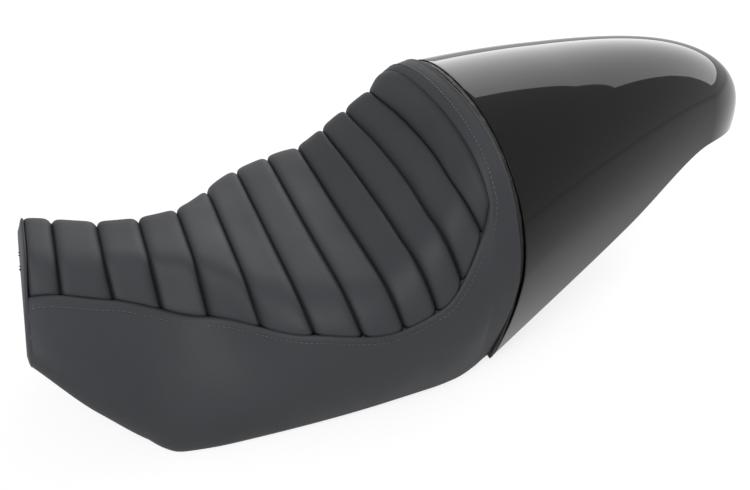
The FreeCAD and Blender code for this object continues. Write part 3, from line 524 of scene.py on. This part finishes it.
def nose_row(share):
    """Section of the nose between the front seam and the tip, from hem to hem."""
    x = X_FRONT + share * (X_TIP - X_FRONT)
    side = skirt(x, NOSE_POINTS)[::-1]
    top = shoulder(X_FRONT, NOSE_POINTS)
    wide = along(x, SEAM_Y) / along(X_FRONT, SEAM_Y)
    tall = (1 - NOSE_DROP * share) * (along(X_FRONT, CROWN_Z) - along(X_FRONT, SEAM_Z)) / top[-1, 1]
    crown = np.stack([top[:, 0] * wide, along(x, SEAM_Z) + top[:, 1] * tall], axis=1)
    full = mirrored(np.concatenate([side, crown[1:]]))
    return np.stack([section_x(x, full[:, 1]), full[:, 0], full[:, 1]], axis=1)


def nose_grid():
    """Rows from the front seam round the edge of the nose, the last ones drawn in on the tip's plane."""
    grid = [nose_row(share) for share in NOSE_SHARES]
    tip = nose_row(1.0)
    middle = np.array([0.0, 0.5 * (tip[:, 2].min() + tip[:, 2].max())])
    for share in FACING_SHARES:
        inner = tip.copy()
        inner[:, 1:] = middle + (tip[:, 1:] - middle) * share
        inner[:, 2] = np.maximum(inner[:, 2], tip[:, 2].min())
        inner[:, 0] = tip[:, 0] + NOSE_SLOPE * (inner[:, 2] - tip[:, 2])
        grid.append(inner)
    return np.array(grid)


def nose_cap(outline):
    """Flat facing inside an outline: lines across from each point to its mirror image."""
    half = len(outline) // 2
    shares = np.linspace(0.0, 1.0, FACING_COLUMNS)[:, None]
    return np.array([(1 - shares) * outline[k] + shares * outline[-1 - k] for k in range(half + 1)])


nose_points = nose_grid()
nose = [grid_object("nose", nose_points, inside=(60, 0, 90)),
        grid_object("nose facing", nose_cap(nose_points[-1]), inside=(60, 0, 90))]
border = weld(joined("border_vinyl", skirts + [band] + nose))
print("border mesh:", len(border.data.polygons), "faces")

# %% Thickness of the vinyl
ROLLED_VINYL, SMOOTH_VINYL = 2.0, 1.6
thicken(panel, ROLLED_VINYL)
thicken(border, SMOOTH_VINYL)
print("vinyl, mm:", ROLLED_VINYL, SMOOTH_VINYL)

# %% [markdown]
# ## Tail cowl
# The cowl is a gloss black moulding. It could be a coarse cage under a Subdivision Surface, but its
# mirror finish shows every bump that such a cage leaves. So it gets a dense smooth grid from section
# curves like the CAD's, cut at the lower edge and at the joint with the hump, and then a wall thickness
# with a rounded lip.

# %% Cowl sections
COWL_HALF_WIDTH, COWL_FOOT_Y, COWL_TAPER = 140.0, 122.0, 0.315
COWL_END_X, COWL_END_Z, TAIL_ROUND_X, TOP_ROUND_X = 718.0, 132.0, 644.0, 452.0
COWL_FRONT_Z, COWL_TOP_Z, COWL_TOP_X = BAND_CROWN[-1][1], 245.0, 470.0
COWL_EDGE = [(X_JOINT - JOINT_RAKE, 6.0), (413.0, 37.0), (533.0, 93.0), (TAIL_ROUND_X, 140.0),
             (COWL_END_X, 126.0)]
SIDE_HANDLE, TOP_HANDLE, TOP_WIDTH = 0.55, 0.6, 0.62
LEAST_SIZE, LEAST_WALL_HEIGHT = 0.5, 0.2
COWL_POINTS, COWL_COLUMNS = 80, 80


def cowl_measures(x):
    """Half width, height of the widest line and height of the crown."""
    width = COWL_HALF_WIDTH - COWL_TAPER * (x - X_JOINT)
    round_off = max(0.0, (x - TAIL_ROUND_X) / (COWL_END_X - TAIL_ROUND_X))
    width *= math.sqrt(max(0.0, 1 - round_off ** 2))
    run_out = max(0.0, (x - TOP_ROUND_X) / (COWL_END_X - TOP_ROUND_X))
    fall = max(0.0, 1 - run_out ** 3) ** 0.5
    rise_in = max(0.0, (COWL_TOP_X - x) / (COWL_TOP_X - X_JOINT))
    crown = COWL_TOP_Z - (COWL_TOP_Z - COWL_FRONT_Z) * rise_in ** 2
    crown = COWL_END_Z + (crown - COWL_END_Z) * fall
    belt = JOINT_BELT + (COWL_END_Z - JOINT_BELT) * (x - X_JOINT) / (COWL_END_X - X_JOINT)
    return max(width, LEAST_SIZE), belt, max(crown, belt + LEAST_SIZE)


def cowl_half(x):
    """Cowl section from its lower edge to the crown, as (y, z)."""
    width, belt, crown = cowl_measures(x)
    rise, low = crown - belt, belt - JOINT_BELT
    side = bezier([(width * COWL_FOOT_Y / COWL_HALF_WIDTH, low),
                   (width, low + SIDE_HANDLE * JOINT_BELT), (width, belt)], COWL_POINTS)
    top = bezier([(width, belt), (width, belt + TOP_HANDLE * rise),
                  (TOP_WIDTH * width, crown), (0.0, crown)], COWL_POINTS)
    run = np.concatenate([side, top[1:]])
    edge = min(along(x, COWL_EDGE), crown - LEAST_WALL_HEIGHT)
    first = int(np.argmax(run[:, 1] >= edge))
    if first > 0:
        a, b = run[first - 1], run[first]
        start = a + (b - a) * (edge - a[1]) / (b[1] - a[1])
        run = np.concatenate([[start], run[first:]])
    return evenly(run, COWL_COLUMNS)


print("cowl at the joint, half width, belt and crown, mm:", cowl_measures(X_JOINT))

# %% Cowl skin
COWL_ROWS, COWL_GAP, COWL_END_GAP, COWL_WALL = 150, 4.0, 0.3, 3.0
EVEN_ROWS, TAIL_ROWS = 0.55, 0.45
LIP_WIDTH, LIP_ANGLE = 1.2, 50


def cowl_grid():
    """Rows from the joint to the tail, closer at the tail; each point starts on the joint's curve."""
    front = cowl_half(X_JOINT)
    start = joint_x(front[:, 1]) + COWL_GAP
    grid = []
    for s in np.linspace(0.0, 1.0, COWL_ROWS):
        share = EVEN_ROWS * s + TAIL_ROWS * math.sin(0.5 * math.pi * s)
        base = X_JOINT + COWL_GAP + share * (COWL_END_X - X_JOINT - COWL_GAP - COWL_END_GAP)
        half = cowl_half(base)
        xs = base + (start - X_JOINT - COWL_GAP) * (1 - share) ** 2
        half[-1, 0] = 0.0
        full = mirrored(half)
        grid.append(np.stack([np.concatenate([xs, xs[::-1][1:]]), full[:, 0], full[:, 1]], axis=1))
    return np.array(grid)


cowl = grid_object("cowl_skin", cowl_grid(), inside=(480, 0, 130))
thicken(cowl, COWL_WALL)
lip = cowl.modifiers.new("rounded lip", "BEVEL")
lip.width = LIP_WIDTH / 1000
lip.segments = 3
lip.limit_method = "ANGLE"
lip.angle_limit = math.radians(LIP_ANGLE)
print("cowl mesh:", len(cowl.data.polygons), "faces")


# %% [markdown]
# ## Finishes
# Every finish is named for the real material. Pictures of the materials could be wrapped round the
# pieces, but nodes that work from a real grain size stay sharp at any distance and need no unwrapping.
# One function turns a hex colour as seen on a screen into the linear numbers that Blender mixes, and
# one adds a node with its settings and links.

# %% Node helpers
def linear(hex_colour):
    """sRGB hex to the linear colour that a shader takes."""
    values = [int(hex_colour[k:k + 2], 16) / 255 for k in (1, 3, 5)]
    return tuple(v / 12.92 if v <= 0.04045 else ((v + 0.055) / 1.055) ** 2.4 for v in values) + (1.0,)


def add_node(tree, kind, links=None, settings=None, **inputs):
    """A node with its settings, its constant inputs by name, and links as {input: output socket}."""
    node = tree.nodes.new(kind)
    for key, value in (settings or {}).items():
        setattr(node, key, value)
    for key, value in inputs.items():
        node.inputs[key.replace("_", " ")].default_value = value
    for key, socket in (links or {}).items():
        tree.links.new(socket, node.inputs[key])
    return node


def finish_of(name, hex_colour, roughness, metallic=0.0, ior=1.5):
    """A material with its node tree and its shader."""
    material = bpy.data.materials.new(name)
    material.use_nodes = True
    shader = material.node_tree.nodes["Principled BSDF"]
    shader.inputs["Base Color"].default_value = linear(hex_colour)
    shader.inputs["Roughness"].default_value = roughness
    shader.inputs["Metallic"].default_value = metallic
    shader.inputs["IOR"].default_value = ior
    return material, material.node_tree, shader


def grained(tree, shader, kind, grain_mm, depth_mm, strength):
    """A fine relief of a real grain size, on object coordinates."""
    where = add_node(tree, "ShaderNodeTexCoord")
    grain = add_node(tree, kind, {"Vector": where.outputs["Object"]}, Scale=1000 / grain_mm)
    bump = add_node(tree, "ShaderNodeBump", {"Height": grain.outputs[0]},
                    Strength=strength, Distance=depth_mm / 1000)
    tree.links.new(bump.outputs["Normal"], shader.inputs["Normal"])


def clouded(tree, shader, patch_mm, smooth, rough):
    """Roughness that wanders between two values over patches of a real size, as handled surfaces do."""
    where = add_node(tree, "ShaderNodeTexCoord")
    cloud = add_node(tree, "ShaderNodeTexNoise", {"Vector": where.outputs["Object"]},
                     Scale=1000 / patch_mm, Detail=3.0)
    span = add_node(tree, "ShaderNodeMapRange", {"Value": cloud.outputs[0]}, From_Min=0.3, From_Max=0.7,
                    To_Min=smooth, To_Max=rough)
    tree.links.new(span.outputs[0], shader.inputs["Roughness"])


# %% Materials
# Upholstery vinyl, calendered PVC on cloth: charcoal with a soft satin sheen and a fine pebble grain.
# Shade in a sewn crease is painted into the colour: it falls to near black there, by the value on the mesh.
# Its refractive index and the gloss's are lower than real, so that the white room doesn't grey them.
VINYL_CHARCOAL, PAINTED_CREASE_SHADE = "#2a2b2e", "#050506"
MIX_A, MIX_B, MIX_RESULT = 6, 7, 2  # colour sockets of a Mix node
vinyl, tree, shader = finish_of("upholstery vinyl, charcoal", VINYL_CHARCOAL, 0.62, ior=1.31)
grained(tree, shader, "ShaderNodeTexVoronoi", 1.1, 0.2, 0.12)
clouded(tree, shader, 45.0, 0.58, 0.66)
# The crease value mixes the charcoal towards black: painted shade in the sewn creases.
crease = add_node(tree, "ShaderNodeAttribute", settings={"attribute_name": "crease"})
shade = add_node(tree, "ShaderNodeMix", {0: crease.outputs["Fac"]}, {"data_type": "RGBA"})
shade.inputs[MIX_A].default_value = linear(VINYL_CHARCOAL)
shade.inputs[MIX_B].default_value = linear(PAINTED_CREASE_SHADE)
tree.links.new(shade.outputs[MIX_RESULT], shader.inputs["Base Color"])

# Injection-moulded ABS, polished black: almost no colour of its own, it shows the room as a dark mirror.
gloss, _, _ = finish_of("polished black ABS", "#020202", 0.03, ior=1.31)

# Moulded polypropylene of the base: a spark-eroded skin that scatters light, so it stays dull black.
base_plastic, tree, shader = finish_of("moulded polypropylene, black", "#1b1b1c", 0.6)
grained(tree, shader, "ShaderNodeTexNoise", 0.7, 0.1, 0.25)

# EPDM rubber of the seal and the bumpers: dead matt, with slightly rubbed patches.
rubber, tree, shader = finish_of("EPDM rubber, black", "#141414", 0.7)
clouded(tree, shader, 9.0, 0.6, 0.85)

# Moulded polyurethane foam: grey skin with open pores.
foam, tree, shader = finish_of("moulded polyurethane foam", "#4a4a4c", 0.9)
grained(tree, shader, "ShaderNodeTexVoronoi", 1.6, 0.5, 0.5)

# Powder coat on the tongue and the bracket: satin black with a faint orange peel.
painted, tree, shader = finish_of("powder coated steel, black", "#1a1a1b", 0.45)
grained(tree, shader, "ShaderNodeTexNoise", 1.2, 0.05, 0.2)

# Zinc plate on the fasteners: bluish white metal, cloudy from passivation.
zinc, tree, shader = finish_of("zinc plated steel", "#b9b8b2", 0.32, metallic=1.0)
clouded(tree, shader, 3.0, 0.25, 0.45)

# Bonded nylon thread: black, a little glossier than the vinyl, so single stitches catch the light.
thread, _, _ = finish_of("bonded nylon thread, black", "#28282a", 0.42)

# Galvanised staple wire: bright small flats against the dark hem.
staple_steel, _, _ = finish_of("galvanised staple wire", "#a9a9a6", 0.35, metallic=1.0)
print("finishes:", [m.name for m in bpy.data.materials])

# %% Materials on the pieces
FINISHES = {panel: vinyl, border: vinyl, cowl: gloss}
NODE_FINISHES = {"cowl_edge_seal": rubber, "foam_pad": foam, "seat_pan": base_plastic,
                 "front_tongue": painted, "rear_bracket": painted, "tongue_rivets": zinc,
                 "bracket_bolts": zinc, "tee_nuts": zinc, "rubber_bumpers": rubber,
                 "cowl_screws": zinc, "cowl_clip_nuts": zinc}
FINISHES.update({nodes[name]: material for name, material in NODE_FINISHES.items()})
for piece, material in FINISHES.items():
    piece.data.materials.clear()
    piece.data.materials.append(material)
print("pieces with a finish:", len(FINISHES))

# %% [markdown]
# ## Stitches and staples
# A row of top stitches follows the seam on the border side, and staples hold the hem under the base.
# Each could be placed by hand or by an Array on a curve. Both repeat along a path at a known pitch, so
# a Geometry Nodes tree walks the path and sets one small shape at each step, turned along it.

# %% Tree that sets a shape along a path
def repeat_tree(name, material, round_shape):
    """Geometry Nodes tree with inputs for the pitch and for the shape's length and width."""
    tree = bpy.data.node_groups.new(name, "GeometryNodeTree")
    tree.interface.new_socket("Geometry", in_out="INPUT", socket_type="NodeSocketGeometry")
    for label in ("Pitch", "Length", "Width"):
        tree.interface.new_socket(label, in_out="INPUT", socket_type="NodeSocketFloat")
    tree.interface.new_socket("Geometry", in_out="OUTPUT", socket_type="NodeSocketGeometry")
    given = add_node(tree, "NodeGroupInput").outputs
    path = add_node(tree, "GeometryNodeMeshToCurve", {"Mesh": given["Geometry"]})
    steps = add_node(tree, "GeometryNodeResampleCurve",
                     {"Curve": path.outputs["Curve"], "Length": given["Pitch"]}, {"mode": "LENGTH"})
    if round_shape:
        shape = add_node(tree, "GeometryNodeMeshUVSphere", Segments=8, Rings=6, Radius=0.5)
    else:
        shape = add_node(tree, "GeometryNodeMeshCube")
    size = add_node(tree, "ShaderNodeCombineXYZ",
                    {"X": given["Length"], "Y": given["Width"], "Z": given["Width"]})
    tangent = add_node(tree, "GeometryNodeInputTangent")
    turn = add_node(tree, "FunctionNodeAlignRotationToVector", {"Vector": tangent.outputs["Tangent"]},
                    {"axis": "X"})
    copies = add_node(tree, "GeometryNodeInstanceOnPoints",
                      {"Points": steps.outputs["Curve"], "Instance": shape.outputs["Mesh"],
                       "Rotation": turn.outputs["Rotation"], "Scale": size.outputs["Vector"]})
    real = add_node(tree, "GeometryNodeRealizeInstances", {"Geometry": copies.outputs["Instances"]})
    finished = add_node(tree, "GeometryNodeSetMaterial", {"Geometry": real.outputs["Geometry"]},
                        Material=material)
    add_node(tree, "NodeGroupOutput", {"Geometry": finished.outputs["Geometry"]})
    return tree


def along_path(name, points, tree, material, **sizes):
    """Runs a repeat tree over a path of points and keeps the result as a plain mesh, sizes in mm."""
    mesh = bpy.data.meshes.new(name + " path")
    verts = [tuple(p) for p in place(points)]
    mesh.from_pydata(verts, [(k, k + 1) for k in range(len(verts) - 1)], [])
    carrier = bpy.data.objects.new(name + " path", mesh)
    bpy.context.scene.collection.objects.link(carrier)
    modifier = carrier.modifiers.new("repeat", "NODES")
    modifier.node_group = tree
    for item in tree.interface.items_tree:
        if item.item_type == "SOCKET" and item.in_out == "INPUT" and item.name in sizes:
            modifier[item.identifier] = sizes[item.name] / 1000
    evaluated = carrier.evaluated_get(bpy.context.evaluated_depsgraph_get())
    made = bpy.data.meshes.new_from_object(evaluated)
    bpy.data.objects.remove(carrier)
    made.name = name
    made.materials.clear()
    made.materials.append(material)
    obj = bpy.data.objects.new(name, made)
    bpy.context.scene.collection.objects.link(obj)
    return obj


stitch_tree = repeat_tree("stitches along a seam", thread, True)
staple_tree = repeat_tree("staples along a hem", staple_steel, False)
print("trees:", stitch_tree.name, "and", staple_tree.name)

# %% Top stitches
STITCH_FROM_SEAM, STITCH_SECTIONS = 6.0, 160
STITCH_SIZES = {"Pitch": 4.2, "Length": 3.2, "Width": 1.1}


def stitch_path():
    """Line on the border a little outside the seam: up one side, over the hump and down the other."""
    side = []
    for x in np.linspace(X_FRONT, X_RIM, STITCH_SECTIONS):
        climb = math.atan(along(x, SEAM_Z) - along(x - 1.0, SEAM_Z))
        at = max(X_FRONT, x + STITCH_FROM_SEAM * math.sin(climb))
        z = along(x, SEAM_Z) - STITCH_FROM_SEAM * math.cos(climb)
        past_rim = max(0.0, at - X_RIM) / (joint_x(z) - X_RIM)
        run = skirt(min(at, X_RIM) + past_rim * (X_JOINT - X_RIM), SKIRT_ROWS)[::-1]
        side.append((section_x(at, z), np.interp(z, run[:, 1], run[:, 0]), z))
    side = np.array(side)
    arch_x = X_RIM + STITCH_FROM_SEAM
    arch = on_plane(arch_x, mirrored(hump_top(arch_x, ARCH_POINTS)))
    return np.concatenate([side, arch[1:-1], side[::-1] * MIRROR_Y])


stitches = along_path("top_stitches", stitch_path(), stitch_tree, thread, **STITCH_SIZES)
print("stitches mesh:", len(stitches.data.polygons), "faces")

# %% Hem staples
STAPLE_SIZES = {"Pitch": 24.0, "Length": 10.0, "Width": 1.2}
STAPLE_START, STAPLE_INSET, STAPLE_HEIGHT, STAPLE_SECTIONS = 6, 1.0, 0.7, 40


def staple_path():
    """Line on the inner side of the hem, from the front corner to where the edge lifts."""
    return np.array([(x, along(x, EDGE_Y) - HEM_INSET - STAPLE_INSET, STAPLE_HEIGHT * HEM_RISE)
                     for x in np.linspace(CORNER_X + STAPLE_START, LIFT_X, STAPLE_SECTIONS)])


staple_rows = [along_path("staples right", staple_path(), staple_tree, staple_steel, **STAPLE_SIZES),
               along_path("staples left", staple_path() * MIRROR_Y, staple_tree, staple_steel,
                          **STAPLE_SIZES)]
staples = joined("hem_staples", staple_rows)
staples.data.materials.append(staple_steel)
print("staples mesh:", len(staples.data.polygons), "faces")

# %% [markdown]
# ## Joining the frame
# Every piece rides on the part's single body. The dressed pieces stand for their CAD nodes.

# %% Pieces on the frame
for piece, node, slot in ((panel, "ribbed_top_panel", "vinyl"), (border, "border_cover", "vinyl"),
                          (cowl, "cowl", "cowl_gloss")):
    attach(piece, "root")
    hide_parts(node)
for piece, slot in ((stitches, "vinyl"), (staples, "zinc_steel")):
    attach(piece, "root")
print("pieces on the frame:", [piece.name for piece in (panel, border, cowl, stitches, staples)])

# %% [markdown]
# ## Stage, light and camera
# The seat stands on a white sheet in a white room. A wall of soft light behind it is what the cowl's
# crown mirrors, a smaller light fills in from the front, and the camera has the photograph's angle.
# More light would whiten the sheet too, but would wash out the black pieces. So sheet and room are
# white only for the rays that the eye or a mirror sees, and the sheet still takes the seat's shadow.

# %% Floor and room
FLOOR_REACH, FLOOR_Z, FLOOR_GLOW = 6, -0.0005, 0.72
ROOM_LIGHT, WHITE = 0.42, (1, 1, 1, 1)
scene = bpy.context.scene
scene.view_settings.view_transform = "Standard"


def seen_by_eye(tree):
    """1 for rays that show the background: straight to the camera, in a mirror or through glass."""
    ray = add_node(tree, "ShaderNodeLightPath").outputs
    seen = add_node(tree, "ShaderNodeMath", {0: ray["Is Camera Ray"], 1: ray["Is Glossy Ray"]},
                    {"operation": "MAXIMUM"})
    return add_node(tree, "ShaderNodeMath", {0: seen.outputs[0], 1: ray["Is Transmission Ray"]},
                    {"operation": "MAXIMUM"})


corners = [(sx * FLOOR_REACH, sy * FLOOR_REACH, FLOOR_Z) for sx, sy in ((-1, -1), (1, -1), (1, 1), (-1, 1))]
floor = mesh_object("floor", corners, [(0, 1, 2, 3)])
paper, tree, shader = finish_of("white paper sweep", "#f6f6f6", 0.9)
glow = add_node(tree, "ShaderNodeEmission", Color=WHITE, Strength=1.0)
glow_share = add_node(tree, "ShaderNodeMath", {0: seen_by_eye(tree).outputs[0]}, {"operation": "MULTIPLY"})
glow_share.inputs[1].default_value = FLOOR_GLOW
mixed = add_node(tree, "ShaderNodeMixShader",
                 {0: glow_share.outputs[0], 1: shader.outputs[0], 2: glow.outputs[0]})
tree.links.new(mixed.outputs[0], tree.nodes["Material Output"].inputs["Surface"])
floor.data.materials.append(paper)

world = bpy.data.worlds.new("white room")
world.use_nodes = True
scene.world = world
tree = world.node_tree
tree.nodes.clear()
room = add_node(tree, "ShaderNodeBackground", Color=WHITE, Strength=ROOM_LIGHT)
white = add_node(tree, "ShaderNodeBackground", Color=WHITE, Strength=1.0)
mixed = add_node(tree, "ShaderNodeMixShader",
                 {0: seen_by_eye(tree).outputs[0], 1: room.outputs[0], 2: white.outputs[0]})
add_node(tree, "ShaderNodeOutputWorld", {"Surface": mixed.outputs[0]})
print("stage:", floor.name, "in a", world.name)


# %% Two soft lights
def softbox(name, place_m, towards, wide, tall, watts):
    """A rectangular lamp, sizes in metres."""
    light = bpy.data.lights.new(name, "AREA")
    light.shape = "RECTANGLE"
    light.size, light.size_y, light.energy = wide, tall, watts
    lamp = bpy.data.objects.new(name, light)
    lamp.location = place_m
    lamp.rotation_euler = Vector(towards).to_track_quat("-Z", "Y").to_euler()
    scene.collection.objects.link(lamp)
    print(name, "watts:", watts)


softbox("wall of light behind", place_m=(1.64, 0.77, 1.5), towards=(-1.0, -1.0, 0.0),
        wide=3.6, tall=2.2, watts=81.0)
softbox("fill from the front", place_m=(-1.0, -1.1, 1.5), towards=(0.9, 1.1, -1.3),
        wide=1.6, tall=1.2, watts=40.0)

# %% Camera at the photograph's angle
EYE = np.array([76.0, -552.9, 540.55])
AZIMUTH, ELEVATION = math.radians(22.3), math.radians(38.0)
LENS, SENSOR = 37.34, 36.0
camera = bpy.data.cameras.new("camera")
camera.sensor_width = SENSOR
camera.lens = LENS
camera_object = bpy.data.objects.new("camera", camera)
camera_object.location = tuple(place(EYE))
look = Vector((math.sin(AZIMUTH) * math.cos(ELEVATION), math.cos(AZIMUTH) * math.cos(ELEVATION),
               -math.sin(ELEVATION)))
camera_object.rotation_euler = look.to_track_quat("-Z", "Y").to_euler()
scene.collection.objects.link(camera_object)
scene.camera = camera_object
print("camera at, metres:", [round(v, 3) for v in camera_object.location])
